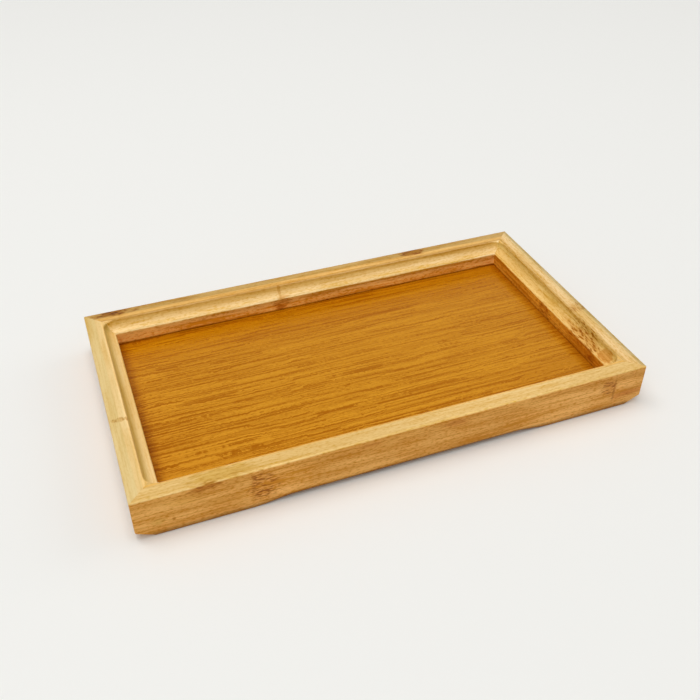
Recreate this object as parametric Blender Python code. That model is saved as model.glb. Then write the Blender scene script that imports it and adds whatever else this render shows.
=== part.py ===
"""A small bamboo serving tray, as the maker joins it.

Four mitred rails are glued up round a base panel that sits in their grooves, with a hidden
spline across each mitre. The closed frame is then routed: a cove runs right round the inside
of the rim and turns the corners on one radius, so each rail carries half of two corners.

Metres, +Z up. The origin is under the middle of the tray, on the surface it stands on.
The long rails run along X, and the front of the tray faces -Y.
"""
from math import acos, atan2, cos, hypot, pi, radians, sin, sqrt

import bmesh
import bpy

# The frame from above
TRAY_LENGTH = 0.320
TRAY_WIDTH = 0.180
RAIL_WIDTH = 0.0177

# The heights that stack up to the rim
UNDERSIDE_RECESS = 0.007
PANEL_THICKNESS = 0.005
WELL_DEPTH = 0.016

# The routed inside of the rim, in section and at the corners of the well
COVE_RADIUS = 0.007
RIM_ROUND = 0.0012
LEDGE_ROUND = 0.001
WELL_CORNER_RADIUS = 0.0012

# What is sanded off the outer edges of the frame, and off the edges of the loose pieces
ARRIS_ROUND = 0.0008
PANEL_EDGE_ROUND = 0.0006
SPLINE_EDGE_ROUND = 0.0004

# The groove that holds the panel, measured into the rail from its inner wall
GROOVE_DEPTH = 0.005

# The finger bevel under both short ends
END_BEVEL_WIDTH = 0.0105
END_BEVEL_HEIGHT = 0.005

# The lands that the long rails stand on, and the soft relief between them
LAND_LENGTH = 0.054
RELIEF_RAMP_LENGTH = 0.026
RELIEF_HEIGHT = 0.0025

# The splines, and the wood left round each of their slots
SPLINE_THICKNESS = 0.003
SPLINE_COVER = 0.002

# The clearance between pieces, and how far a cutter runs past what it cuts
GAP = 0.0003
OVERRUN = 0.002

# Facets on the curves
COVE_STEPS = 10
ROUND_STEPS = 4
CORNER_STEPS = 10
RAMP_STEPS = 10
ARRIS_STEPS = 3
SHARP_ANGLE = radians(22)

# Sizes that follow from the ones above
TRAY_HEIGHT = UNDERSIDE_RECESS + PANEL_THICKNESS + WELL_DEPTH
HALF_LENGTH = TRAY_LENGTH / 2
HALF_WIDTH = TRAY_WIDTH / 2
GROOVE_SETBACK = RAIL_WIDTH - GROOVE_DEPTH

# Linear base colours and roughness of the finished bamboo, and of the raw wood inside the joints
PALE_BAMBOO = ((0.70, 0.46, 0.19), 0.48)
HONEY_BAMBOO = ((0.56, 0.30, 0.09), 0.48)
CARAMEL_BAMBOO = ((0.50, 0.19, 0.03), 0.42)
RAW_BAMBOO = ((0.60, 0.42, 0.22), 0.75)


def bamboo(name, look):
    """One Principled material of a colour and a roughness."""
    colour, roughness = look
    material = bpy.data.materials.new(name)
    material.use_nodes = True
    shader = material.node_tree.nodes["Principled BSDF"]
    shader.inputs["Base Color"].default_value = (*colour, 1)
    shader.inputs["Roughness"].default_value = roughness
    shader.inputs["Metallic"].default_value = 0
    return material


def object_from(bm, name):
    """Turn a finished bmesh into an object of the scene."""
    bmesh.ops.recalc_face_normals(bm, faces=bm.faces)
    mesh = bpy.data.meshes.new(name)
    bm.to_mesh(mesh)
    bm.free()
    piece = bpy.data.objects.new(name, mesh)
    bpy.context.scene.collection.objects.link(piece)
    return piece


def as_cutter(piece):
    """Keep a cutting tool out of the finished model."""
    piece.hide_render = True
    piece.display_type = "WIRE"
    return piece


def prism(name, outline, direction):
    """A flat outline of 3-D points, pushed along one direction."""
    bm = bmesh.new()
    face = bm.faces.new([bm.verts.new(point) for point in outline])
    pushed = bmesh.ops.extrude_face_region(bm, geom=[face])
    far_points = [item for item in pushed["geom"] if isinstance(item, bmesh.types.BMVert)]
    bmesh.ops.translate(bm, verts=far_points, vec=direction)
    return object_from(bm, name)


def block(name, length, width, height):
    """A plain block, standing on the origin of its own object."""
    x, y = length / 2, width / 2
    outline = [(-x, -y, 0), (x, -y, 0), (x, y, 0), (-x, y, 0)]
    return prism(name, outline, (0, 0, height))


def loft(name, rings):
    """A closed body through rings of equally many points, capped at both ends."""
    bm = bmesh.new()
    loops = [[bm.verts.new(point) for point in ring] for ring in rings]
    for lower, upper in zip(loops, loops[1:]):
        for here in range(len(lower)):
            after = (here + 1) % len(lower)
            bm.faces.new((lower[here], lower[after], upper[after], upper[here]))
    bm.faces.new(loops[0])
    bm.faces.new(loops[-1])
    return object_from(bm, name)


def ease_edges(piece, radius):
    """Sand the sharp edges of a piece to a small radius."""
    bevel = piece.modifiers.new("eased edges", "BEVEL")
    bevel.width = radius
    bevel.segments = ARRIS_STEPS
    bevel.limit_method = "ANGLE"
    bevel.angle_limit = SHARP_ANGLE


def cut(piece, tool, operation="DIFFERENCE"):
    """Work a piece with a cutter, or keep only what lies inside it."""
    boolean = piece.modifiers.new(tool.name, "BOOLEAN")
    boolean.operation = operation
    boolean.solver = "EXACT"
    boolean.object = tool


def finish(piece, material):
    """Bake the work into the mesh, shade it smooth up to its arrises and give it its wood."""
    depsgraph = bpy.context.evaluated_depsgraph_get()
    mesh = bpy.data.meshes.new_from_object(piece.evaluated_get(depsgraph))
    piece.modifiers.clear()
    piece.data = mesh
    mesh.name = piece.name
    mesh.materials.clear()
    mesh.materials.append(material)
    mesh.shade_smooth()
    mesh.set_sharp_from_angle(angle=SHARP_ANGLE)


def arc(centre, radius, start, end, steps):
    """Points on an arc of a section, from one angle to the other."""
    turns = [start + (end - start) * step / steps for step in range(steps + 1)]
    return [(centre[0] + radius * cos(turn), centre[1] + radius * sin(turn)) for turn in turns]


def run_on(inner, edge):
    """The point a little way past an edge, in line with the point before it."""
    reach = OVERRUN / hypot(edge[0] - inner[0], edge[1] - inner[1])
    return (edge[0] + (edge[0] - inner[0]) * reach, edge[1] + (edge[1] - inner[1]) * reach)


def well_section():
    """The routed section of a rail, as (setback from the outer face, height) from the rim down.

    The hollow of the cove is a quarter of a circle centred over the inner wall at rim height.
    The rounds at its top and bottom are circles that just touch it.
    """
    cove_centre = (RAIL_WIDTH, TRAY_HEIGHT)
    rim_reach = sqrt((COVE_RADIUS + RIM_ROUND) ** 2 - RIM_ROUND ** 2)
    rim_centre = (RAIL_WIDTH - rim_reach, TRAY_HEIGHT - RIM_ROUND)
    ledge_drop = sqrt((COVE_RADIUS + LEDGE_ROUND) ** 2 - LEDGE_ROUND ** 2)
    ledge_centre = (RAIL_WIDTH - LEDGE_ROUND, TRAY_HEIGHT - ledge_drop)
    foot_centre = (RAIL_WIDTH - ARRIS_ROUND, ARRIS_ROUND)

    rim_touch = atan2(RIM_ROUND, rim_reach)
    ledge_touch = acos(LEDGE_ROUND / (COVE_RADIUS + LEDGE_ROUND))
    rim = arc(rim_centre, RIM_ROUND, pi / 2, rim_touch, ROUND_STEPS)
    cove = arc(cove_centre, COVE_RADIUS, pi + rim_touch, pi + ledge_touch, COVE_STEPS)
    ledge = arc(ledge_centre, LEDGE_ROUND, ledge_touch, 0, ROUND_STEPS)
    foot = arc(foot_centre, ARRIS_ROUND, 0, -pi / 2, ARRIS_STEPS)

    above = run_on(rim[1], rim[0])
    below = run_on(foot[-2], foot[-1])
    start = [(above[0], TRAY_HEIGHT + OVERRUN), above]
    end = [below, (below[0], -OVERRUN)]
    return start + rim[1:-1] + cove + ledge[1:] + foot[:-1] + end


def well_ring(setback, height):
    """The router's path at one height: a rectangle whose corners share one centre."""
    corner_x = HALF_LENGTH - RAIL_WIDTH - WELL_CORNER_RADIUS
    corner_y = HALF_WIDTH - RAIL_WIDTH - WELL_CORNER_RADIUS
    radius = WELL_CORNER_RADIUS + RAIL_WIDTH - setback
    ring = []
    for quarter, (side_x, side_y) in enumerate(((1, 1), (-1, 1), (-1, -1), (1, -1))):
        start = quarter * pi / 2
        centre = (side_x * corner_x, side_y * corner_y)
        for x, y in arc(centre, radius, start, start + pi / 2, CORNER_STEPS):
            ring.append((x, y, height))
    return ring


def elevation_half():
    """Right half of the tray's front outline, from the middle of the underside to the rim."""
    land_end = HALF_LENGTH - END_BEVEL_WIDTH
    land_start = land_end - LAND_LENGTH
    points = []
    for step in range(RAMP_STEPS + 1):
        share = step / RAMP_STEPS
        x = land_start - RELIEF_RAMP_LENGTH * (1 - share)
        points.append((x, RELIEF_HEIGHT * (1 + cos(pi * share)) / 2))
    points.append((land_end, 0))
    points.append((HALF_LENGTH, END_BEVEL_HEIGHT))
    points.append((HALF_LENGTH, TRAY_HEIGHT))
    return points


def frame_blank(name):
    """The glued frame before routing: its front outline, as deep as the tray, edges eased."""
    right = elevation_half()
    left = [(-x, z) for x, z in reversed(right)]
    outline = [(x, -HALF_WIDTH, z) for x, z in right + left]
    blank = prism(name, outline, (0, TRAY_WIDTH, 0))
    ease_edges(blank, ARRIS_ROUND)
    return blank


def mitred_stock(name, half_run, half_across, turn):
    """The space of one rail: between two 45 degree cuts, as seen from above, turned into place."""
    trim = GAP / sqrt(2)
    outer_end = half_run + OVERRUN - trim
    inner_end = half_run - RAIL_WIDTH - OVERRUN - trim
    outer_side = -half_across - OVERRUN
    inner_side = -half_across + RAIL_WIDTH + OVERRUN
    outline = [
        (-outer_end, outer_side, -OVERRUN),
        (outer_end, outer_side, -OVERRUN),
        (inner_end, inner_side, -OVERRUN),
        (-inner_end, inner_side, -OVERRUN),
    ]
    stock = prism(name, outline, (0, 0, TRAY_HEIGHT + OVERRUN + OVERRUN))
    stock.rotation_euler.z = turn
    return as_cutter(stock)


def spline_space():
    """Where a spline lies: its setback from the outer faces, its width, foot and height."""
    cover_span = GROOVE_SETBACK - SPLINE_COVER - SPLINE_COVER
    setback = GROOVE_SETBACK / 2
    width = cover_span * sqrt(2) - SPLINE_THICKNESS
    foot = END_BEVEL_HEIGHT + SPLINE_COVER
    top = TRAY_HEIGHT - COVE_RADIUS - SPLINE_COVER
    return setback, width, foot, top - foot


def place_at_mitre(piece, side_x, side_y, lift):
    """Stand a piece on a mitre line, square across the joint."""
    setback = spline_space()[0]
    piece.location = (side_x * (HALF_LENGTH - setback), side_y * (HALF_WIDTH - setback), lift)
    piece.rotation_euler.z = side_x * side_y * pi / 4


def spline(name, side_x, side_y):
    """The key glued across one mitre, thin along the mitre line and wide across it."""
    _, width, foot, height = spline_space()
    piece = block(name, SPLINE_THICKNESS, width, height)
    ease_edges(piece, SPLINE_EDGE_ROUND)
    place_at_mitre(piece, side_x, side_y, foot)
    return piece


def spline_slot(name, side_x, side_y):
    """The slot for one spline, clear of it all round."""
    _, width, foot, height = spline_space()
    slot = block(name, SPLINE_THICKNESS + GAP + GAP, width + GAP + GAP, height + GAP + GAP)
    place_at_mitre(slot, side_x, side_y, foot - GAP)
    return as_cutter(slot)


def base_panel():
    """The board in the bottom of the well, let into the grooves of all four rails."""
    inset = GROOVE_SETBACK + GAP
    panel = block(
        "base_panel",
        TRAY_LENGTH - inset - inset,
        TRAY_WIDTH - inset - inset,
        PANEL_THICKNESS,
    )
    ease_edges(panel, PANEL_EDGE_ROUND)
    panel.location.z = UNDERSIDE_RECESS
    return panel


def panel_groove():
    """The groove round the inside of the frame, clear of the panel all round."""
    groove = block(
        "panel groove",
        TRAY_LENGTH - GROOVE_SETBACK - GROOVE_SETBACK,
        TRAY_WIDTH - GROOVE_SETBACK - GROOVE_SETBACK,
        PANEL_THICKNESS + GAP + GAP,
    )
    groove.location.z = UNDERSIDE_RECESS - GAP
    return as_cutter(groove)


def clear_scene():
    """Start from an empty scene."""
    for old in list(bpy.data.objects):
        bpy.data.objects.remove(old)


def build_tray():
    """Make every piece of the tray."""
    clear_scene()
    well = as_cutter(loft("well router", [well_ring(*place) for place in well_section()]))
    groove = panel_groove()

    corners = {
        "front_left": (-1, -1),
        "front_right": (1, -1),
        "back_right": (1, 1),
        "back_left": (-1, 1),
    }
    slots = {name: spline_slot(f"slot {name}", *sides) for name, sides in corners.items()}

    rails = {
        "front_rail": (HALF_LENGTH, HALF_WIDTH, 0, ("front_left", "front_right"), HONEY_BAMBOO),
        "right_rail": (HALF_WIDTH, HALF_LENGTH, pi / 2, ("front_right", "back_right"), PALE_BAMBOO),
        "back_rail": (HALF_LENGTH, HALF_WIDTH, pi, ("back_right", "back_left"), HONEY_BAMBOO),
        "left_rail": (HALF_WIDTH, HALF_LENGTH, -pi / 2, ("back_left", "front_left"), PALE_BAMBOO),
    }
    worked = []
    for name, (half_run, half_across, turn, ends, look) in rails.items():
        rail = frame_blank(name)
        cut(rail, well)
        cut(rail, groove)
        cut(rail, mitred_stock(f"stock {name}", half_run, half_across, turn), "INTERSECT")
        for end in ends:
            cut(rail, slots[end])
        worked.append((rail, look))

    worked.append((base_panel(), CARAMEL_BAMBOO))
    for name, sides in corners.items():
        worked.append((spline(f"spline_{name}", *sides), RAW_BAMBOO))
    for piece, look in worked:
        finish(piece, bamboo(piece.name, look))


build_tray()
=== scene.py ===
"""The finish of a small bamboo serving tray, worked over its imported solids.

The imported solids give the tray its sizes. The four rails are made again here, glued up with closed
mitres and routed with a finer cove. The base panel and the hidden splines keep their solids and get
their wood. Everything is in metres, with the front of the tray facing -Y.
"""

from math import acos, atan2, cos, hypot, pi, radians, sin, sqrt
from typing import NamedTuple

import bmesh
import bpy
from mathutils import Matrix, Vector


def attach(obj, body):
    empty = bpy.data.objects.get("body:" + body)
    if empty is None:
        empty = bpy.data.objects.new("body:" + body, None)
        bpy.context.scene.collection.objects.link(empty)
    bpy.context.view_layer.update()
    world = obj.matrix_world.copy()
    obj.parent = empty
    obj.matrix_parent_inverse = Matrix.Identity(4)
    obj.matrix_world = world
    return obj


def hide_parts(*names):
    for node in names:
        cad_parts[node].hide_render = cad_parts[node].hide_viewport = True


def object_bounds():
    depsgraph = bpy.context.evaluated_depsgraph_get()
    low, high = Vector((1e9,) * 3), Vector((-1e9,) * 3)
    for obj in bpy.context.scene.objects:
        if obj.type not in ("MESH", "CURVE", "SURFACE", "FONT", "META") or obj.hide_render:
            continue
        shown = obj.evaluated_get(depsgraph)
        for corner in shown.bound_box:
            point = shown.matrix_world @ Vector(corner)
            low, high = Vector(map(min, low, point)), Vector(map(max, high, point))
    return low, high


MILLIMETRE = 0.001

# The routed section of a rail, as in the solids
RAIL_WIDTH = 0.0177
PANEL_TOP = 0.012
PANEL_THICKNESS = 0.005
COVE_RADIUS = 0.007
RIM_ROUND = 0.0012
LEDGE_ROUND = 0.001
WELL_CORNER_RADIUS = 0.0012
ARRIS_ROUND = 0.0008
GROOVE_DEPTH = 0.005

# The underside, as in the solids
END_BEVEL_WIDTH = 0.0105
END_BEVEL_HEIGHT = 0.005
LAND_LENGTH = 0.054
RELIEF_RAMP_LENGTH = 0.026
RELIEF_HEIGHT = 0.0025

# The clearances between pieces, and how far a cutter runs past what it cuts
JOINT_CLEARANCE = 0.0003
GLUE_LINE = 0.00003
OVERRUN = 0.002

# Facets on the finer curves, the least turn at an edge that is eased, and the pull of flat faces
COVE_STEPS = 22
ROUND_STEPS = 8
CORNER_STEPS = 28
RAMP_STEPS = 20
ARRIS_STEPS = 5
EASED_TURN = radians(15)
FLAT_FACE_WEIGHT = 100

# Where the colours of a rail's surfaces meet, and how softly they change there
RIM_EDGE = 0.0100
LEDGE_HEIGHT = 0.0208
SOFT_EDGE = 0.0005

# How far painted shade reaches up the foot of a rail, above the panel's joint and in from the
# panel's edges, and where the painted shade on the panel towards the back rail starts and ends
FOOT_SHADE_ON_LAND = 0.0043
FOOT_SHADE_IN_RELIEF = 0.0026
FOOT_SHADE_SETBACK = 0.0030
JOINT_SHADE = 0.0011
PANEL_EDGE_SHADE = 0.0080
BACK_SHADE_START = 0.030
BACK_SHADE_END = 0.060

# The share of its reach over which the foot's shade is full, its strength on the lands, and the
# strength of the edge shade along the panel's long sides
FOOT_SHADE_CORE = 0.1
FOOT_SHARE_ON_LAND = 0.75
LONG_EDGE_SHARE = 0.45

# Noise in the wood: the length and thickness of its grains, and the detail in them
SWAY = (0.05, 0.022, 2.0)
TEETH = (0.0019, 0.0050, 1.0)
STREAKS = (0.10, 0.0032, 2.0)
LINES = (0.028, 0.00115, 1.0)
TICKS = (0.0026, 0.0009, 2.0)
DRIFT = (0.045, 0.008, 1.5)
FINE_GRAIN = (0.006, 0.00035, 1.0)
VEINS = (0.16, 0.0095, 1.0)
VEIN_BREAKS = (0.05, 0.012, 1.0)
RAGGED_EDGE = (0.006, 0.0014, 2.0)
SPECKS = (0.0050, 0.0012, 2.0)
NOISE_ROUGHNESS = 0.5
MIDDLE = 0.5

# How noise becomes tone: where it is darkest, where it is lightest, and the tone at its darkest
STREAK_TONE = (0.70, 0.30, -0.50)
LINE_TONE = (0.68, 0.46, -0.80)
TICK_TONE = (0.68, 0.46, -0.80)
DRIFT_TONE = (0.68, 0.32, -0.50)
VEIN_TONE = (-0.030, 0.030, -0.87)
VEIN_FADE = (0.56, 0.40, 0.0, 0.06)

# The edge of a mark as a share of its reach, its softness and raggedness, and the specks in it
MARK_EDGE = 0.825
MARK_SOFTNESS = 0.325
MARK_RAGGEDNESS = 0.5
RAGGED_REACH = 3.0
SPECK_SPAN = (0.48, 0.60)
SPECK_REACH = (1.1, 0.7)

# Roughness and specular level of each finish
RAIL_FINISH = (0.42, 0.25)
PANEL_FINISH = (0.4, 0.15)
SAWN_FINISH = (0.75, 0.3)
PAPER_FINISH = (0.9, 0.1)

# The span of the fine grain, what it makes of the roughness, and the depth of its relief
FINE_SPAN = (0.3, 0.7)
RAIL_ROUGHNESS = (0.36, 0.50)
PANEL_ROUGHNESS = (0.20, 0.30)
GRAIN_RELIEF_STRENGTH = 0.25
GRAIN_RELIEF_DEPTH = 0.0001

# The colour each varnish gives its highlights
RAIL_SHEEN = (1.0, 0.85, 0.35, 1.0)
PANEL_SHEEN = (1.0, 0.88, 0.0, 1.0)

# Grain contrast on the walls and the unseen faces, the rim edge's share of its own tone, which holds
# painted light and shade, and how far a surface faces up where a cove's side tone, a painted shaded
# copy of its floor tone, ends and its floor tone begins
WALL_CONTRAST = 1.6
UNSEEN_FACE_CONTRAST = 0.5
RIM_SHARE = 0.75
COVE_TURN = (0.2, 0.95)

# The reach, in millimetres, of a mark that keeps its strength along the whole of a rail
WHOLE_RUN = 300

# The panel's grain and its place in it. Its contrast and redness grow towards the front left corner,
# where the sum of its two places, each as a share of its half size, is lowest.
PANEL_GRAIN_OFFSET = (0.37, 0.11, 0.0)
PANEL_GRAIN = {
    "Waviness": 0.006, "Serration": 0.0012, "Length": 3.2,
    "Streaks": 0.30, "Lines": 0.50, "Ticks": 0.18, "Drift": 0.05, "Veins": 0.20,
}
PANEL_CONTRAST = (0.5, -1.2, 1.08, 1.85)
PANEL_REDDENING = (-0.4, -1.5)

# Where the photograph was taken from, and the lens on a 36 mm wide square frame
CAMERA_PLACE = (-0.16087, -0.41340, 0.36158)
CAMERA_TURN = (0.914905, 0.001026, -0.365309)
CAMERA_LENS = 44.196
CAMERA_SENSOR = 36.0

# Soft studio light: each lamp's place and width in metres, and its strength in watts
LAMPS = {
    "overhead lamp": ((0.0, 0.0, 3.4), 1.2, 30.0),
    "rear left lamp": ((-1.0, 0.8, 3.0), 1.4, 22.0),
    "front left lamp": ((-1.6, -1.8, 2.6), 2.0, 19.2),
    "right lamp": ((3.0, 0.2, 1.6), 2.0, 13.6),
}

# The even pale room: how strongly it lights, how bright it looks, and how wide its floor is
ROOM_STRENGTH = 0.395
ROOM_SEEN = 0.85
FLOOR_SIZE = 6.0

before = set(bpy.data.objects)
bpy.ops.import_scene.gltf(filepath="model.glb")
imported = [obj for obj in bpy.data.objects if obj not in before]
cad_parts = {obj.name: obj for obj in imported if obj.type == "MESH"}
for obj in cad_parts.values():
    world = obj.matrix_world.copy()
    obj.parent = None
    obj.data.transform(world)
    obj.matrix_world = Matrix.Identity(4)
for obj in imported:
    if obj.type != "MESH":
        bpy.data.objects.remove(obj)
cad_low, cad_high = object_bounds()
HALF_LENGTH = cad_high.x
HALF_WIDTH = cad_high.y
TRAY_HEIGHT = cad_high.z


def colour(red, green, blue):
    """A colour named as it looks on screen, from 0 to 255, turned into linear light."""
    shares = [part / 255 for part in (red, green, blue)]
    linear = [s / 12.92 if s <= 0.04045 else ((s + 0.055) / 1.055) ** 2.4 for s in shares]
    return (*linear, 1.0)


# Joinery


def object_from(bm, name):
    """Turn a finished bmesh into an object of the scene."""
    bmesh.ops.recalc_face_normals(bm, faces=bm.faces)
    mesh = bpy.data.meshes.new(name)
    bm.to_mesh(mesh)
    bm.free()
    piece = bpy.data.objects.new(name, mesh)
    bpy.context.scene.collection.objects.link(piece)
    return piece


def prism(name, outline, direction):
    """A flat outline of 3-D points, pushed along one direction."""
    bm = bmesh.new()
    face = bm.faces.new([bm.verts.new(point) for point in outline])
    pushed = bmesh.ops.extrude_face_region(bm, geom=[face])
    far_points = [item for item in pushed["geom"] if isinstance(item, bmesh.types.BMVert)]
    bmesh.ops.translate(bm, verts=far_points, vec=direction)
    return object_from(bm, name)


def loft(name, rings):
    """A closed body through rings of equally many points, capped at both ends."""
    bm = bmesh.new()
    loops = [[bm.verts.new(point) for point in ring] for ring in rings]
    for lower, upper in zip(loops, loops[1:]):
        for here in range(len(lower)):
            after = (here + 1) % len(lower)
            bm.faces.new((lower[here], lower[after], upper[after], upper[here]))
    bm.faces.new(loops[0])
    bm.faces.new(loops[-1])
    return object_from(bm, name)


def ease_edges(piece, radius):
    """Sand the sharp edges of a piece to a small radius."""
    bevel = piece.modifiers.new("eased edges", "BEVEL")
    bevel.width = radius
    bevel.segments = ARRIS_STEPS
    bevel.limit_method = "ANGLE"
    bevel.angle_limit = EASED_TURN


def cut(piece, tool, operation="DIFFERENCE"):
    """Work a piece with a cutter, or keep only what lies inside it."""
    boolean = piece.modifiers.new(tool.name, "BOOLEAN")
    boolean.operation = operation
    boolean.solver = "EXACT"
    boolean.object = tool


def bake_work(piece):
    """Bake the work into the mesh and shade it smooth, with flat faces kept flat."""
    weighted = piece.modifiers.new("flat faces", "WEIGHTED_NORMAL")
    weighted.keep_sharp = True
    weighted.weight = FLAT_FACE_WEIGHT
    piece.data.shade_smooth()
    depsgraph = bpy.context.evaluated_depsgraph_get()
    mesh = bpy.data.meshes.new_from_object(piece.evaluated_get(depsgraph))
    piece.modifiers.clear()
    piece.data = mesh
    mesh.name = piece.name


def arc(centre, radius, start, end, steps):
    """Points on an arc of a section, from one angle to the other."""
    turns = [start + (end - start) * step / steps for step in range(steps + 1)]
    return [(centre[0] + radius * cos(turn), centre[1] + radius * sin(turn)) for turn in turns]


def run_on(inner, edge):
    """The point a little way past an edge, in line with the point before it."""
    reach = OVERRUN / hypot(edge[0] - inner[0], edge[1] - inner[1])
    return (edge[0] + (edge[0] - inner[0]) * reach, edge[1] + (edge[1] - inner[1]) * reach)


def well_section():
    """The routed section of a rail, as (setback from the outer face, height) from the rim down.

    The hollow of the cove is a quarter of a circle centred over the inner wall at rim height.
    The rounds at its top and bottom are circles that just touch it.
    """
    cove_centre = (RAIL_WIDTH, TRAY_HEIGHT)
    rim_reach = sqrt((COVE_RADIUS + RIM_ROUND) ** 2 - RIM_ROUND ** 2)
    rim_centre = (RAIL_WIDTH - rim_reach, TRAY_HEIGHT - RIM_ROUND)
    ledge_drop = sqrt((COVE_RADIUS + LEDGE_ROUND) ** 2 - LEDGE_ROUND ** 2)
    ledge_centre = (RAIL_WIDTH - LEDGE_ROUND, TRAY_HEIGHT - ledge_drop)
    foot_centre = (RAIL_WIDTH - ARRIS_ROUND, ARRIS_ROUND)

    rim_touch = atan2(RIM_ROUND, rim_reach)
    ledge_touch = acos(LEDGE_ROUND / (COVE_RADIUS + LEDGE_ROUND))
    rim = arc(rim_centre, RIM_ROUND, pi / 2, rim_touch, ROUND_STEPS)
    cove = arc(cove_centre, COVE_RADIUS, pi + rim_touch, pi + ledge_touch, COVE_STEPS)
    ledge = arc(ledge_centre, LEDGE_ROUND, ledge_touch, 0, ROUND_STEPS)
    foot = arc(foot_centre, ARRIS_ROUND, 0, -pi / 2, ARRIS_STEPS)

    above = run_on(rim[1], rim[0])
    below = run_on(foot[-2], foot[-1])
    start = [(above[0], TRAY_HEIGHT + OVERRUN), above]
    end = [below, (below[0], -OVERRUN)]
    return start + rim[1:-1] + cove + ledge[1:] + foot[:-1] + end


def well_ring(setback, height):
    """The router's path at one height: a rectangle whose corners share one centre."""
    corner_x = HALF_LENGTH - RAIL_WIDTH - WELL_CORNER_RADIUS
    corner_y = HALF_WIDTH - RAIL_WIDTH - WELL_CORNER_RADIUS
    radius = WELL_CORNER_RADIUS + RAIL_WIDTH - setback
    ring = []
    for quarter, (side_x, side_y) in enumerate(((1, 1), (-1, 1), (-1, -1), (1, -1))):
        start = quarter * pi / 2
        centre = (side_x * corner_x, side_y * corner_y)
        for x, y in arc(centre, radius, start, start + pi / 2, CORNER_STEPS):
            ring.append((x, y, height))
    return ring


def land_span():
    """Where a land starts and ends, out from the middle of a long rail."""
    end = HALF_LENGTH - END_BEVEL_WIDTH
    return end - LAND_LENGTH, end


def elevation_half():
    """Right half of the tray's front outline, from the middle of the underside to the rim."""
    land_start, land_end = land_span()
    points = []
    for step in range(RAMP_STEPS + 1):
        share = step / RAMP_STEPS
        x = land_start - RELIEF_RAMP_LENGTH * (1 - share)
        points.append((x, RELIEF_HEIGHT * (1 + cos(pi * share)) / 2))
    points.append((land_end, 0))
    points.append((HALF_LENGTH, END_BEVEL_HEIGHT))
    points.append((HALF_LENGTH, TRAY_HEIGHT))
    return points


def frame_blank(name):
    """The glued frame before routing: its front outline, as deep as the tray, edges eased."""
    right = elevation_half()
    left = [(-x, z) for x, z in reversed(right)]
    outline = [(x, -HALF_WIDTH, z) for x, z in right + left]
    blank = prism(name, outline, (0, HALF_WIDTH * 2, 0))
    ease_edges(blank, ARRIS_ROUND)
    return blank


def mitred_stock(name, half_run, half_across, turn):
    """The space of one rail: between two 45 degree cuts, as seen from above, turned into place."""
    trim = GLUE_LINE / sqrt(2)
    outer_end = half_run + OVERRUN - trim
    inner_end = half_run - RAIL_WIDTH - OVERRUN - trim
    outer_side = -half_across - OVERRUN
    inner_side = -half_across + RAIL_WIDTH + OVERRUN
    outline = [
        (-outer_end, outer_side, -OVERRUN),
        (outer_end, outer_side, -OVERRUN),
        (inner_end, inner_side, -OVERRUN),
        (-inner_end, inner_side, -OVERRUN),
    ]
    stock = prism(name, outline, (0, 0, TRAY_HEIGHT + OVERRUN + OVERRUN))
    stock.rotation_euler.z = turn
    return stock


def panel_groove():
    """The groove round the inside of the frame, clear of the panel but closed above it."""
    x = HALF_LENGTH - RAIL_WIDTH + GROOVE_DEPTH
    y = HALF_WIDTH - RAIL_WIDTH + GROOVE_DEPTH
    z = PANEL_TOP - PANEL_THICKNESS - JOINT_CLEARANCE
    height = PANEL_THICKNESS + JOINT_CLEARANCE + GLUE_LINE
    return prism("panel groove", [(-x, -y, z), (x, -y, z), (x, y, z), (-x, y, z)], (0, 0, height))


def make_rails():
    """Glue up, rout and part the four rails, each on its own solid's place."""
    well = loft("well router", [well_ring(*place) for place in well_section()])
    groove = panel_groove()
    tools = [well, groove]
    places = {
        "front_rail": (HALF_LENGTH, HALF_WIDTH, 0),
        "right_rail": (HALF_WIDTH, HALF_LENGTH, pi / 2),
        "back_rail": (HALF_LENGTH, HALF_WIDTH, pi),
        "left_rail": (HALF_WIDTH, HALF_LENGTH, -pi / 2),
    }
    rails = {}
    for node, (half_run, half_across, turn) in places.items():
        rail = frame_blank(f"routed_{node}")
        stock = mitred_stock(f"stock {node}", half_run, half_across, turn)
        cut(rail, well)
        cut(rail, groove)
        cut(rail, stock, "INTERSECT")
        bake_work(rail)
        tools.append(stock)
        rails[node] = rail
    for tool in tools:
        bpy.data.objects.remove(tool)
    return rails


# Shader helpers


def add(tree, kind, inputs=None, **settings):
    """Place one shader node, set it up and wire its inputs."""
    made = tree.nodes.new("ShaderNode" + kind)
    for name, value in settings.items():
        setattr(made, name, value)
    for name, value in (inputs or {}).items():
        feed(tree, made.inputs[name], value)
    return made


def feed(tree, socket, value):
    """Wire a socket, or set it."""
    if isinstance(value, bpy.types.NodeSocket):
        tree.links.new(value, socket)
    elif value is not None:
        socket.default_value = value


def calc(tree, operation, first, second=None):
    """One step of arithmetic."""
    return add(tree, "Math", {0: first, 1: second}, operation=operation).outputs[0]


def vector_calc(tree, operation, first, second):
    """One step of vector arithmetic."""
    return add(tree, "VectorMath", {0: first, 1: second}, operation=operation).outputs[0]


def ramp(tree, value, low, high, to_low=0.0, to_high=1.0):
    """Spread a value smoothly from one range to another."""
    made = add(tree, "MapRange", {"Value": value, "From Min": low, "From Max": high,
                                  "To Min": to_low, "To Max": to_high},
               interpolation_type="SMOOTHSTEP")
    return made.outputs[0]


def blend(tree, share, first, second, way="MIX"):
    """Mix two colours by a share."""
    made = tree.nodes.new("ShaderNodeMix")
    made.data_type = "RGBA"
    made.blend_type = way
    feed(tree, made.inputs[0], share)
    feed(tree, made.inputs[6], first)
    feed(tree, made.inputs[7], second)
    return made.outputs[2]


def parts_of(tree, vector):
    """The three parts of a vector."""
    return add(tree, "SeparateXYZ", {0: vector}).outputs


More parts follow.
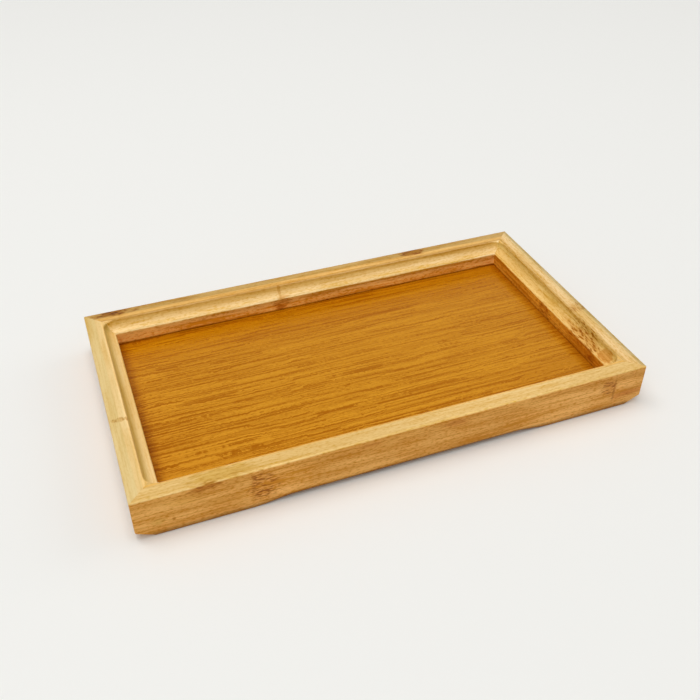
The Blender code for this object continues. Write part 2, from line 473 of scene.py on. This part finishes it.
def stretched_noise(tree, place, grains):
    """Noise with grains of a length along X and one thickness across it."""
    length, thickness, detail = grains
    scale = (1 / length, 1 / thickness, 1 / thickness)
    scaled = vector_calc(tree, "MULTIPLY", place, scale)
    made = add(tree, "TexNoise", {"Vector": scaled, "Scale": 1.0, "Detail": detail,
                                  "Roughness": NOISE_ROUGHNESS})
    return made.outputs["Fac"]


def off_middle(tree, value, factor):
    """How far a noise or a tone lies from its middle, times a factor."""
    return calc(tree, "MULTIPLY", calc(tree, "SUBTRACT", value, MIDDLE), factor)


def steepened(tree, tone, contrast):
    """A tone spread out about its middle."""
    return calc(tree, "ADD", off_middle(tree, tone, contrast), MIDDLE)


def new_group(name, inputs, outputs):
    """An empty node group with named sockets."""
    tree = bpy.data.node_groups.new(name, "ShaderNodeTree")
    for socket, (kind, value) in inputs.items():
        made = tree.interface.new_socket(socket, in_out="INPUT", socket_type="NodeSocket" + kind)
        if value is not None:
            made.default_value = value
    for socket, kind in outputs.items():
        tree.interface.new_socket(socket, in_out="OUTPUT", socket_type="NodeSocket" + kind)
    source = tree.nodes.new("NodeGroupInput").outputs
    sink = tree.nodes.new("NodeGroupOutput").inputs
    return tree, source, sink


def use(tree, group, **inputs):
    """Place a node group in a material. Input names have _ for each space."""
    made = tree.nodes.new("ShaderNodeGroup")
    made.node_tree = group
    for name, value in inputs.items():
        feed(tree, made.inputs[name.replace("_", " ")], value)
    return made.outputs


# Shared effects


def grain_group():
    """The grain of bamboo that runs along X, as one tone from dark to light.

    Soft streaks, thin dark lines, short ticks, slow drifts and long wavy veins each have their
    own share in it.
    """
    tree, source, sink = new_group(
        "bamboo grain",
        {
            "Place": ("Vector", None),
            "Waviness": ("Float", 0.0008),
            "Serration": ("Float", 0.0),
            "Length": ("Float", 1.0),
            "Streaks": ("Float", 0.3),
            "Lines": ("Float", 0.3),
            "Ticks": ("Float", 0.2),
            "Drift": ("Float", 0.2),
            "Veins": ("Float", 0.0),
        },
        {"Tone": "Float", "Fine Grain": "Float"},
    )
    wave = off_middle(tree, stretched_noise(tree, source["Place"], SWAY), source["Waviness"])
    teeth = off_middle(tree, stretched_noise(tree, source["Place"], TEETH), source["Serration"])
    sway = calc(tree, "ADD", wave, teeth)
    shift = add(tree, "CombineXYZ", {"Y": sway, "Z": sway}).outputs[0]
    place = vector_calc(tree, "ADD", source["Place"], shift)
    shorter = add(tree, "CombineXYZ", {"X": source["Length"], "Y": 1.0, "Z": 1.0}).outputs[0]
    long_place = vector_calc(tree, "DIVIDE", place, shorter)

    veins = stretched_noise(tree, long_place, VEINS)
    veins = calc(tree, "ABSOLUTE", calc(tree, "SUBTRACT", veins, MIDDLE))
    faded = ramp(tree, stretched_noise(tree, long_place, VEIN_BREAKS), *VEIN_FADE)
    veins = calc(tree, "ADD", veins, faded)
    tone = MIDDLE
    for noise, (darkest_at, lightest_at, darkest), share in (
        (stretched_noise(tree, long_place, STREAKS), STREAK_TONE, "Streaks"),
        (stretched_noise(tree, long_place, LINES), LINE_TONE, "Lines"),
        (stretched_noise(tree, place, TICKS), TICK_TONE, "Ticks"),
        (stretched_noise(tree, long_place, DRIFT), DRIFT_TONE, "Drift"),
        (veins, VEIN_TONE, "Veins"),
    ):
        part = ramp(tree, noise, darkest_at, lightest_at, darkest, darkest + 1)
        tone = calc(tree, "ADD", calc(tree, "MULTIPLY", part, source[share]), tone)
    feed(tree, sink["Tone"], tone)
    feed(tree, sink["Fine Grain"], stretched_noise(tree, place, FINE_GRAIN))
    return tree


def mark_group():
    """A mark in the wood round one place: a soft ragged patch, and specks inside it."""
    tree, source, sink = new_group(
        "wood mark",
        {
            "Place": ("Vector", None),
            "Grain Place": ("Vector", None),
            "Centre": ("Vector", None),
            "Reach": ("Vector", None),
            "Raggedness": ("Float", MARK_RAGGEDNESS),
            "Softness": ("Float", MARK_SOFTNESS),
        },
        {"Patch": "Float", "Specks": "Float"},
    )
    away = vector_calc(tree, "SUBTRACT", source["Place"], source["Centre"])
    away = vector_calc(tree, "DIVIDE", away, source["Reach"])
    away = add(tree, "VectorMath", {0: away}, operation="LENGTH").outputs["Value"]
    rough = stretched_noise(tree, source["Grain Place"], RAGGED_EDGE)
    rough = off_middle(tree, rough, source["Raggedness"])
    away = calc(tree, "ADD", away, calc(tree, "MULTIPLY", rough, RAGGED_REACH))
    outer = calc(tree, "ADD", MARK_EDGE, source["Softness"])
    inner = calc(tree, "SUBTRACT", MARK_EDGE, source["Softness"])
    feed(tree, sink["Patch"], ramp(tree, away, outer, inner))
    specks = ramp(tree, stretched_noise(tree, source["Grain Place"], SPECKS), *SPECK_SPAN)
    within = ramp(tree, away, *SPECK_REACH)
    feed(tree, sink["Specks"], calc(tree, "MULTIPLY", within, specks))
    return tree


def section_group():
    """Which surface of a rail a point is on, from its setback from the outer face and its height,
    and where painted shade falls at its foot and on the inner wall above the panel.
    """
    tree, source, sink = new_group(
        "rail section",
        {"Place": ("Vector", None), "Half Across": ("Float", 0.09)},
        {"Outer Face": "Float", "Cove": "Float", "Inner Wall": "Float", "Rim Edge": "Float",
         "Foot Shade": "Float", "Joint Shade": "Float"},
    )
    along, across, height = parts_of(tree, source["Place"])
    along = calc(tree, "ABSOLUTE", along)
    setback = calc(tree, "SUBTRACT", source["Half Across"], calc(tree, "ABSOLUTE", across))
    low = ramp(tree, height, LEDGE_HEIGHT, LEDGE_HEIGHT - SOFT_EDGE)
    high = calc(tree, "SUBTRACT", 1.0, low)

    outer = ramp(tree, setback, ARRIS_ROUND, 0.0)
    below_rim = ramp(tree, height, TRAY_HEIGHT - ARRIS_ROUND / 2, TRAY_HEIGHT - ARRIS_ROUND)
    outer = calc(tree, "MULTIPLY", outer, below_rim)
    underside = ramp(tree, height, LEDGE_HEIGHT / 2, 0.0)
    feed(tree, sink["Outer Face"], calc(tree, "MAXIMUM", outer, underside))

    past_rim = ramp(tree, setback, RIM_EDGE, RIM_EDGE + SOFT_EDGE)
    feed(tree, sink["Cove"], calc(tree, "MULTIPLY", past_rim, high))
    from_rim = calc(tree, "ABSOLUTE", calc(tree, "SUBTRACT", setback, RIM_EDGE))
    rim_line = ramp(tree, from_rim, RIM_ROUND, 0.0)
    feed(tree, sink["Rim Edge"], calc(tree, "MULTIPLY", rim_line, high))

    inside = ramp(tree, setback, RAIL_WIDTH - SOFT_EDGE - SOFT_EDGE, RAIL_WIDTH - SOFT_EDGE)
    feed(tree, sink["Inner Wall"], calc(tree, "MULTIPLY", low, inside))
    # Painted shade on the inner wall just above the panel, in the corner where they meet
    joint = ramp(tree, height, PANEL_TOP + JOINT_SHADE, PANEL_TOP + JOINT_CLEARANCE)
    feed(tree, sink["Joint Shade"], calc(tree, "MULTIPLY", inside, joint))

    # Painted shade at the foot of the outer face, reaching higher on the lands than in the relief
    land_start, land_end = land_span()
    relief = ramp(tree, along, land_start, land_start - RELIEF_RAMP_LENGTH)
    above = calc(tree, "SUBTRACT", height, calc(tree, "MULTIPLY", relief, RELIEF_HEIGHT))
    reach = ramp(tree, relief, 0.0, 1.0, FOOT_SHADE_ON_LAND, FOOT_SHADE_IN_RELIEF)
    foot = ramp(tree, calc(tree, "DIVIDE", above, reach), 1.0, FOOT_SHADE_CORE)
    for limit in (
        ramp(tree, setback, FOOT_SHADE_SETBACK, ARRIS_ROUND),
        ramp(tree, along, land_end + END_BEVEL_WIDTH / 2, land_end),
        ramp(tree, relief, 0.0, 1.0, FOOT_SHARE_ON_LAND, 1.0),
    ):
        foot = calc(tree, "MULTIPLY", foot, limit)
    feed(tree, sink["Foot Shade"], foot)
    return tree


GRAIN = grain_group()
MARK = mark_group()
SECTION = section_group()


# Colours


CARAMEL = colour(200, 131, 6)
CARAMEL_RED = colour(197, 127, 6)
SAWN_DARK = colour(168, 126, 76)
SAWN_LIGHT = colour(212, 180, 130)
PAPER = colour(243, 243, 240)
ROOM = colour(255, 254, 252)

# Tints that the grain lays over a wood's own tone, from its darkest to its lightest
GRAIN_DARK = (0.78, 0.62, 0.15, 1.0)
GRAIN_LIGHT = (1.20, 1.38, 1.95, 1.0)
CARAMEL_DARK = (0.70, 0.54, 0.00, 1.0)
CARAMEL_LIGHT = (1.19, 1.32, 9.00, 1.0)

# Tints of painted shade and painted light: painted shade towards the panel's back, at a rail's foot,
# in the joint above the panel, along the panel's edges, on the back wall's top, along the top of the
# front face, in the back wall's foot and on the right rail's outer arris; painted light low on the
# back wall, and painted highlights on the ledges, the front arris and the rims
BACK_SHADE_TINT = (0.92, 0.82, 0.20, 1.0)
PAINTED_SHADE_AT_FOOT = (0.30, 0.20, 0.08, 1.0)
PAINTED_SHADE_IN_JOINT = (0.56, 0.40, 0.12, 1.0)
PAINTED_SHADE_AT_PANEL_EDGES = (0.72, 0.58, 0.30, 1.0)
WALL_SHADE = (0.86, 0.87, 0.88, 1.0)
UPPER_SHADE = (0.90, 0.84, 0.66, 1.0)
PAINTED_CORNER_SHADE = (0.78, 0.64, 0.32, 1.0)
PAINTED_ARRIS_SHADE = (0.74, 0.80, 0.88, 1.0)
PAINTED_WALL_LIGHT = (1.24, 1.26, 1.35, 1.0)
PAINTED_LEDGE_HIGHLIGHT = (1.10, 1.12, 1.14, 1.0)
PAINTED_ARRIS_HIGHLIGHT = (1.20, 1.28, 1.45, 1.0)
PAINTED_BACK_RIM_HIGHLIGHT = (1.40, 1.33, 1.24, 1.0)
PAINTED_SIDE_RIM_HIGHLIGHT = (1.12, 1.07, 1.10, 1.0)

# Tints of marks in the wood itself
BROWN = (0.66, 0.44, 0.05, 1.0)
DARK_BROWN = (0.54, 0.32, 0.00, 1.0)
ORANGE_BROWN = (0.80, 0.60, 0.36, 1.0)
HONEY = (0.84, 0.76, 0.42, 1.0)
OLIVE = (0.84, 0.86, 0.66, 1.0)
PALE = (1.12, 1.16, 1.30, 1.0)


# Woods


class Mark(NamedTuple):
    """A mark laid on a wood, from its own figure to painted light and shade: its centre and reach in
    millimetres, its tint, and how strongly it shows.
    """
    centre: tuple
    reach: tuple
    tint: tuple
    patch: float
    specks: float = 0.0
    softness: float = MARK_SOFTNESS
    raggedness: float = MARK_RAGGEDNESS


class RailTones(NamedTuple):
    """The tones of a rail's surfaces, each its own colour with some of the light and shade on it
    painted in: the cove's side is a painted shaded copy of its floor, and the rim edge holds painted
    highlights and shade along the rim's round.
    """
    strip: tuple
    cove_floor: tuple
    shaded_cove_side: tuple
    outer_face: tuple
    inner_wall: tuple
    rim_edge_light_and_shade: tuple


class RailLook(NamedTuple):
    """What sets the wood of one rail apart, with the light and shade painted on it.

    Along Y says that its grain runs that way. The offset is the part of the grain it is cut from,
    and the grain gives the share of each kind of figure. The marks are laid in their order.
    """
    along_y: bool
    offset: tuple
    tones: RailTones
    grain: dict
    marks: dict
    face_contrast: float = UNSEEN_FACE_CONTRAST
    cove_turn: tuple = COVE_TURN


def blank_material(name, finish):
    """A material with its shader ready, and constant values on the shader's own sockets."""
    roughness, specular = finish
    material = bpy.data.materials.new(name)
    material.use_nodes = True
    tree = material.node_tree
    shader = tree.nodes["Principled BSDF"]
    shader.inputs["Roughness"].default_value = roughness
    shader.inputs["Specular IOR Level"].default_value = specular
    return material, tree, shader


def varnish(tree, shader, wood, fine_grain, roughness, relief):
    """Give a shader its wood, and the roughness and shallow relief of its grain."""
    feed(tree, shader.inputs["Base Color"], wood)
    feed(tree, shader.inputs["Roughness"], ramp(tree, fine_grain, *FINE_SPAN, *roughness))
    bump = add(tree, "Bump", {"Height": relief, "Strength": GRAIN_RELIEF_STRENGTH,
                              "Distance": GRAIN_RELIEF_DEPTH})
    feed(tree, shader.inputs["Normal"], bump.outputs[0])


def grain_place(tree, along_y, offset):
    """A surface's own place, the same with the grain along X, and that set apart per piece."""
    own = place = add(tree, "TexCoord").outputs["Object"]
    if along_y:
        x, y, z = parts_of(tree, place)
        place = add(tree, "CombineXYZ", {"X": y, "Y": x, "Z": z}).outputs[0]
    return own, place, vector_calc(tree, "ADD", place, offset)


def lay_mark(tree, wood, place, shifted, mark):
    """Lay one mark over a wood."""
    made = use(tree, MARK, Place=place, Grain_Place=shifted,
               Centre=[part * MILLIMETRE for part in mark.centre],
               Reach=[part * MILLIMETRE for part in mark.reach],
               Softness=mark.softness, Raggedness=mark.raggedness)
    share = calc(tree, "MULTIPLY", made["Patch"], mark.patch)
    wood = blend(tree, share, wood, mark.tint, "MULTIPLY")
    if mark.specks:
        share = calc(tree, "MULTIPLY", made["Specks"], mark.specks)
        wood = blend(tree, share, wood, DARK_BROWN, "MULTIPLY")
    return wood


def rail_wood(name, look):
    """The satin bamboo of one rail.

    Each surface has its own tone, softly parted from the next; the cove's side and the rim edge hold
    painted light and shade. The painted shade at its foot and above the panel, the grain and then
    the marks, some of them painted highlights and shade, are laid over them.
    """
    material, tree, shader = blank_material(name, RAIL_FINISH)
    shader.inputs["Specular Tint"].default_value = RAIL_SHEEN
    own, place, shifted = grain_place(tree, look.along_y, look.offset)
    half_across = HALF_LENGTH if look.along_y else HALF_WIDTH
    section = use(tree, SECTION, Place=place, Half_Across=half_across)
    grain = use(tree, GRAIN, Place=shifted, **look.grain)
    on_wall = calc(tree, "MULTIPLY", section["Inner Wall"], WALL_CONTRAST)
    on_face = calc(tree, "MULTIPLY", section["Outer Face"], look.face_contrast)
    contrast = calc(tree, "ADD", calc(tree, "MAXIMUM", on_face, on_wall), 1.0)
    tone = steepened(tree, grain["Tone"], contrast)

    # The cove's steep side takes a painted shaded copy of its floor tone, by how far it faces up
    facing = parts_of(tree, add(tree, "NewGeometry").outputs["Normal"])
    upward = ramp(tree, facing["Z"], *look.cove_turn)
    tones = look.tones
    cove_tone = blend(tree, upward, tones.shaded_cove_side, tones.cove_floor)
    wood = blend(tree, section["Cove"], tones.strip, cove_tone)
    wood = blend(tree, section["Outer Face"], wood, tones.outer_face)
    wood = blend(tree, section["Inner Wall"], wood, tones.inner_wall)
    # The rim edge's tone is painted light and shade along the rim's round, over its own colour
    rim_share = calc(tree, "MULTIPLY", section["Rim Edge"], RIM_SHARE)
    wood = blend(tree, rim_share, wood, tones.rim_edge_light_and_shade)
    # Painted shade at the rail's foot and on the inner wall just above the panel
    wood = blend(tree, section["Foot Shade"], wood, PAINTED_SHADE_AT_FOOT, "MULTIPLY")
    wood = blend(tree, section["Joint Shade"], wood, PAINTED_SHADE_IN_JOINT, "MULTIPLY")
    wood = blend(tree, 1.0, wood, blend(tree, tone, GRAIN_DARK, GRAIN_LIGHT), "MULTIPLY")
    for mark in look.marks.values():
        wood = lay_mark(tree, wood, own, shifted, mark)
    relief = calc(tree, "ADD", grain["Fine Grain"], tone)
    varnish(tree, shader, wood, grain["Fine Grain"], RAIL_ROUGHNESS, relief)
    return material


def panel_wood():
    """The caramel bamboo of the base panel: one board of fine wavy streaks under a satin varnish."""
    material, tree, shader = blank_material("caramel bamboo", PANEL_FINISH)
    shader.inputs["Specular Tint"].default_value = PANEL_SHEEN
    _, place, shifted = grain_place(tree, False, PANEL_GRAIN_OFFSET)
    x, y, _ = parts_of(tree, place)
    grain = use(tree, GRAIN, Place=shifted, **PANEL_GRAIN)
    x_share = calc(tree, "DIVIDE", x, HALF_LENGTH)
    y_share = calc(tree, "DIVIDE", y, HALF_WIDTH)
    corner = calc(tree, "ADD", x_share, y_share)
    tone = steepened(tree, grain["Tone"], ramp(tree, corner, *PANEL_CONTRAST))

    wood = blend(tree, ramp(tree, corner, *PANEL_REDDENING), CARAMEL, CARAMEL_RED)
    # Painted shade on the panel, growing towards the back rail
    far = ramp(tree, y, BACK_SHADE_START, BACK_SHADE_END)
    wood = blend(tree, far, wood, BACK_SHADE_TINT, "MULTIPLY")
    wood = blend(tree, 1.0, wood, blend(tree, tone, CARAMEL_DARK, CARAMEL_LIGHT), "MULTIPLY")
    # Painted shade on the panel along the rails, weaker along its long sides
    past_side = calc(tree, "SUBTRACT", calc(tree, "ABSOLUTE", x), HALF_LENGTH - RAIL_WIDTH)
    past_front = calc(tree, "SUBTRACT", calc(tree, "ABSOLUTE", y), HALF_WIDTH - RAIL_WIDTH)
    side_edge = ramp(tree, past_side, -PANEL_EDGE_SHADE, 0.0)
    long_edge = ramp(tree, past_front, -PANEL_EDGE_SHADE, 0.0, 0.0, LONG_EDGE_SHARE)
    edge = calc(tree, "MAXIMUM", side_edge, long_edge)
    wood = blend(tree, edge, wood, PAINTED_SHADE_AT_PANEL_EDGES, "MULTIPLY")
    varnish(tree, shader, wood, grain["Fine Grain"], PANEL_ROUGHNESS, tone)
    return material


def raw_wood():
    """Sawn bamboo, for the hidden splines."""
    material, tree, shader = blank_material("sawn bamboo", SAWN_FINISH)
    _, _, shifted = grain_place(tree, False, (0.0, 0.0, 0.0))
    grain = use(tree, GRAIN, Place=shifted)
    feed(tree, shader.inputs["Base Color"], blend(tree, grain["Tone"], SAWN_DARK, SAWN_LIGHT))
    return material


def dress(piece, material):
    """Give a piece one wood all over."""
    piece.data.materials.clear()
    piece.data.materials.append(material)


# The look of each rail


FRONT_RAIL = RailLook(
    along_y=False,
    offset=(0.0, 0.0, 0.0),
    tones=RailTones(
        strip=colour(228, 186, 111), cove_floor=colour(226, 184, 110),
        shaded_cove_side=colour(222, 174, 92), outer_face=colour(224, 159, 73),
        inner_wall=colour(222, 155, 66), rim_edge_light_and_shade=colour(238, 179, 78),
    ),
    grain={"Streaks": 0.17, "Lines": 0.22, "Ticks": 0.27, "Drift": 0.16, "Veins": 0.10},
    marks={
        "node": Mark((-87.5, -90, 15.5), (9.5, 4, 13.0), BROWN, 0.10, 0.85),
        "node ring": Mark((-94, -90, 15), (1.2, 3, 12), BROWN, 0.28),
        "node top": Mark((-88.5, -90, 21.5), (5, 3, 4), BROWN, 0.25, 0.5),
        "node foot": Mark((-87, -90, 10), (5.5, 3, 4.8), BROWN, 0.25, 0.5),
        "rim streak": Mark((-119, -90, 26.2), (10, 3, 2.6), BROWN, 0.70, 0.7),
        "upper tail": Mark((-130, -90, 20.5), (13, 3, 3.5), HONEY, 0.5),
        "lower tail": Mark((-110, -90, 13.5), (13, 3, 3), HONEY, 0.5),
        "dot": Mark((-138.5, -90, 9), (1.3, 3, 1.3), BROWN, 0.8),
        "olive patch": Mark((-147, -90, 10), (4.5, 3, 3), OLIVE, 0.7),
        "small node": Mark((134, -90, 18.5), (5, 3, 5.5), BROWN, 0.55, 1.0),
        "small ring": Mark((138.5, -90, 16), (1.2, 3, 9), DARK_BROWN, 0.7),
        "end band": Mark((150, -90, 10), (13, 3, 2.6), ORANGE_BROWN, 1.0),
        "pale run": Mark((105, -90, 12), (45, 4, 14), PALE, 0.6),
        "pale end": Mark((150, -90, 18), (10, 4, 5), PALE, 0.9),
        "streak": Mark((-24, -90, 24), (9, 3, 1.4), ORANGE_BROWN, 0.8),
        "far streak": Mark((29, -90, 23.5), (9, 3, 2.4), ORANGE_BROWN, 0.8),
        # Painted shade along the top of the front face
        "upper shade": Mark((0, -90, 24.5), (200, 3, 5), UPPER_SHADE, 0.7),
        "pale after node": Mark((-80, -90, 14), (22, 4, 17), PALE, 1.0),
        # A painted highlight along the front face's top arris
        "painted arris highlight": Mark((0, -90, 28), (200, 1.3, 1.3), PAINTED_ARRIS_HIGHLIGHT, 1.0),
        "rim smudge": Mark((-110, -85, 28), (21, 6, 3), HONEY, 0.8, 0.2),
        "pale rim": Mark((60, -85, 28), (60, 8, 3), PALE, 0.7),
    },
    face_contrast=1.2,
)

BACK_RAIL = RailLook(
    along_y=False,
    offset=(0.53, 0.21, 0.4),
    tones=RailTones(
        strip=colour(196, 153, 80), cove_floor=colour(250, 211, 143),
        shaded_cove_side=colour(227, 183, 88), outer_face=colour(213, 146, 56),
        inner_wall=colour(240, 179, 86), rim_edge_light_and_shade=colour(204, 148, 68),
    ),
    grain={"Streaks": 0.28, "Lines": 0.24, "Ticks": 0.27, "Drift": 0.22, "Veins": 0.14},
    marks={
        "left patch": Mark((-141, 87, 28), (16, 4.4, 4), BROWN, 0.65, 0.9),
        "left core": Mark((-142, 86.5, 28), (10, 2.8, 4), BROWN, 0.65, 0.6),
        "dark arris": Mark((-122, 90, 28), (36, 1.6, 3), BROWN, 0.5),
        "next patch": Mark((-92, 86, 28), (10, 3, 3), BROWN, 0.25, 0.2),
        "right patch": Mark((80, 86.5, 28), (10, 4.5, 3), BROWN, 0.95, 1.0),
        "pale rim": Mark((10, 85.5, 28), (45, 6, 3), PALE, 0.8),
        "cove node": Mark((-27, 77.5, 24), (1.4, 5, 6), BROWN, 0.55),
        "cove branch": Mark((-24.5, 74.5, 22), (4.5, 1.6, 3), ORANGE_BROWN, 0.7),
        "wall node": Mark((-27, 72.3, 16.5), (7, 3, 6), BROWN, 0.6, 0.7),
        # Painted light low on the inner wall, painted shade at its top and in its foot, and painted
        # highlights along the rim and the ledge
        "painted wall light": Mark((0, 72.3, 14.6), (200, 3, 2.2), PAINTED_WALL_LIGHT, 1.0),
        "wall shade": Mark((0, 72.3, 20.2), (200, 3, 2.8), WALL_SHADE, 1.0),
        "painted wall foot shade": Mark((0, 72.3, 12.2), (WHOLE_RUN, 3, 1.5), PAINTED_CORNER_SHADE, 1.0, raggedness=0.2),
        "painted rim highlight": Mark((0, 82.1, 28), (WHOLE_RUN, 2.2, 3), PAINTED_BACK_RIM_HIGHLIGHT, 1.0, raggedness=0.1),
        "painted ledge highlight": Mark((0, 74, 21.2), (WHOLE_RUN, 1.5, 3), PAINTED_LEDGE_HIGHLIGHT, 0.3, raggedness=0.1),
    },
)

LEFT_RAIL = RailLook(
    along_y=True,
    offset=(1.31, 0.47, 0.8),
    tones=RailTones(
        strip=colour(224, 191, 121), cove_floor=colour(244, 202, 131),
        shaded_cove_side=colour(206, 172, 88), outer_face=colour(213, 148, 60),
        inner_wall=colour(222, 158, 68), rim_edge_light_and_shade=colour(251, 215, 143),
    ),
    grain={"Streaks": 0.14, "Lines": 0.14, "Ticks": 0.11, "Drift": 0.24, "Veins": 0.05},
    marks={
        "node": Mark((-154.5, -22.5, 28), (6.5, 2, 4), BROWN, 0.40, 0.5),
        # A painted highlight along the rim
        "painted rim highlight": Mark((-151.8, 0, 28), (2.6, WHOLE_RUN, 3), PAINTED_SIDE_RIM_HIGHLIGHT, 0.8, raggedness=0.1),
    },
    cove_turn=(0.5, 1.08),
)

RIGHT_RAIL = RailLook(
    along_y=True,
    offset=(2.17, 0.83, 1.2),
    tones=RailTones(
        strip=colour(228, 189, 120), cove_floor=colour(237, 190, 107),
        shaded_cove_side=colour(217, 181, 93), outer_face=colour(213, 148, 60),
        inner_wall=colour(219, 147, 37), rim_edge_light_and_shade=colour(205, 158, 80),
    ),
    grain={"Streaks": 0.24, "Lines": 0.27, "Ticks": 0.32, "Drift": 0.18, "Veins": 0.14},
    marks={
        "node": Mark((155, -19, 28), (6.5, 5.5, 4), ORANGE_BROWN, 0.25, 0.6),
        "near run": Mark((155, -30, 28), (6, 16, 4), HONEY, 0.5),
        "far run": Mark((155, 50, 28), (6, 20, 4), HONEY, 0.35),
        "rough patch": Mark((147, -43.5, 23.5), (6, 18, 7), BROWN, 0.22, 1.0),
        "cove end": Mark((146.3, -66.5, 23), (5, 7.2, 6), ORANGE_BROWN, 0.90,
                         softness=0.08, raggedness=0.12),
        "cove stain": Mark((145, -45, 21.5), (5, 30, 5), ORANGE_BROWN, 0.5),
        "cove smudge": Mark((147, 0, 23.5), (3, 12, 3), HONEY, 0.6),
        "wall node": Mark((142.3, 0, 16.5), (3, 7.5, 6), BROWN, 0.25, 0.7),
        "wall patch": Mark((142.3, -57, 16.5), (3, 6, 6), BROWN, 0.3, 0.6),
        # Painted shade on the outer arris, and painted highlights along the rim and the ledge
        "painted arris shade": Mark((159.3, 0, 28), (2.4, WHOLE_RUN, 3), PAINTED_ARRIS_SHADE, 1.0, raggedness=0.1),
        "painted rim highlight": Mark((152.6, 0, 28), (2.4, WHOLE_RUN, 3), PAINTED_SIDE_RIM_HIGHLIGHT, 0.7, raggedness=0.1),
        "painted ledge highlight": Mark((143.6, 0, 21.3), (1.4, WHOLE_RUN, 3), PAINTED_LEDGE_HIGHLIGHT, 0.5, raggedness=0.1),
    },
)


# Studio


def studio_floor():
    """A plain pale floor that keeps the tray's shadow."""
    half = FLOOR_SIZE / 2
    bm = bmesh.new()
    bm.faces.new([bm.verts.new(p) for p in ((-half, -half, 0), (half, -half, 0),
                                            (half, half, 0), (-half, half, 0))])
    floor = object_from(bm, "studio_floor")
    material, tree, shader = blank_material("studio paper", PAPER_FINISH)
    feed(tree, shader.inputs["Base Color"], PAPER)
    dress(floor, material)


def studio_light():
    """Soft lamps round an even pale room."""
    for name, (place, width, strength) in LAMPS.items():
        light = bpy.data.lights.new(name, "AREA")
        light.shape = "SQUARE"
        light.size = width
        light.energy = strength
        lamp = bpy.data.objects.new(name, light)
        lamp.location = place
        lamp.rotation_euler = (-Vector(place)).to_track_quat("-Z", "Y").to_euler()
        bpy.context.scene.collection.objects.link(lamp)
    world = bpy.data.worlds.new("pale room")
    bpy.context.scene.world = world
    world.use_nodes = True
    tree = world.node_tree
    background = tree.nodes["Background"]
    background.inputs["Color"].default_value = ROOM
    path = add(tree, "LightPath").outputs
    seen = calc(tree, "MAXIMUM", path["Is Camera Ray"], path["Is Glossy Ray"])
    seen = calc(tree, "MAXIMUM", seen, path["Is Transmission Ray"])
    extra = calc(tree, "MULTIPLY", seen, ROOM_SEEN - ROOM_STRENGTH)
    feed(tree, background.inputs["Strength"], calc(tree, "ADD", extra, ROOM_STRENGTH))


def studio_camera():
    """The camera, where the photograph was taken from."""
    lens = bpy.data.cameras.new("camera")
    lens.lens = CAMERA_LENS
    lens.sensor_width = CAMERA_SENSOR
    camera = bpy.data.objects.new("camera", lens)
    camera.location = CAMERA_PLACE
    camera.rotation_euler = CAMERA_TURN
    bpy.context.scene.collection.objects.link(camera)
    bpy.context.scene.camera = camera


rails = make_rails()
woods = {
    "front_rail": rail_wood("front rail bamboo", FRONT_RAIL),
    "back_rail": rail_wood("back rail bamboo", BACK_RAIL),
    "left_rail": rail_wood("left rail bamboo", LEFT_RAIL),
    "right_rail": rail_wood("right rail bamboo", RIGHT_RAIL),
}
for node, rail in rails.items():
    dress(rail, woods[node])
    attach(rail, "root")
    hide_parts(node)
dress(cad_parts["base_panel"], panel_wood())
sawn = raw_wood()
for node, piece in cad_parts.items():
    if node.startswith("spline"):
        dress(piece, sawn)

studio_floor()
studio_light()
studio_camera()
bpy.context.scene.view_settings.view_transform = "Standard"
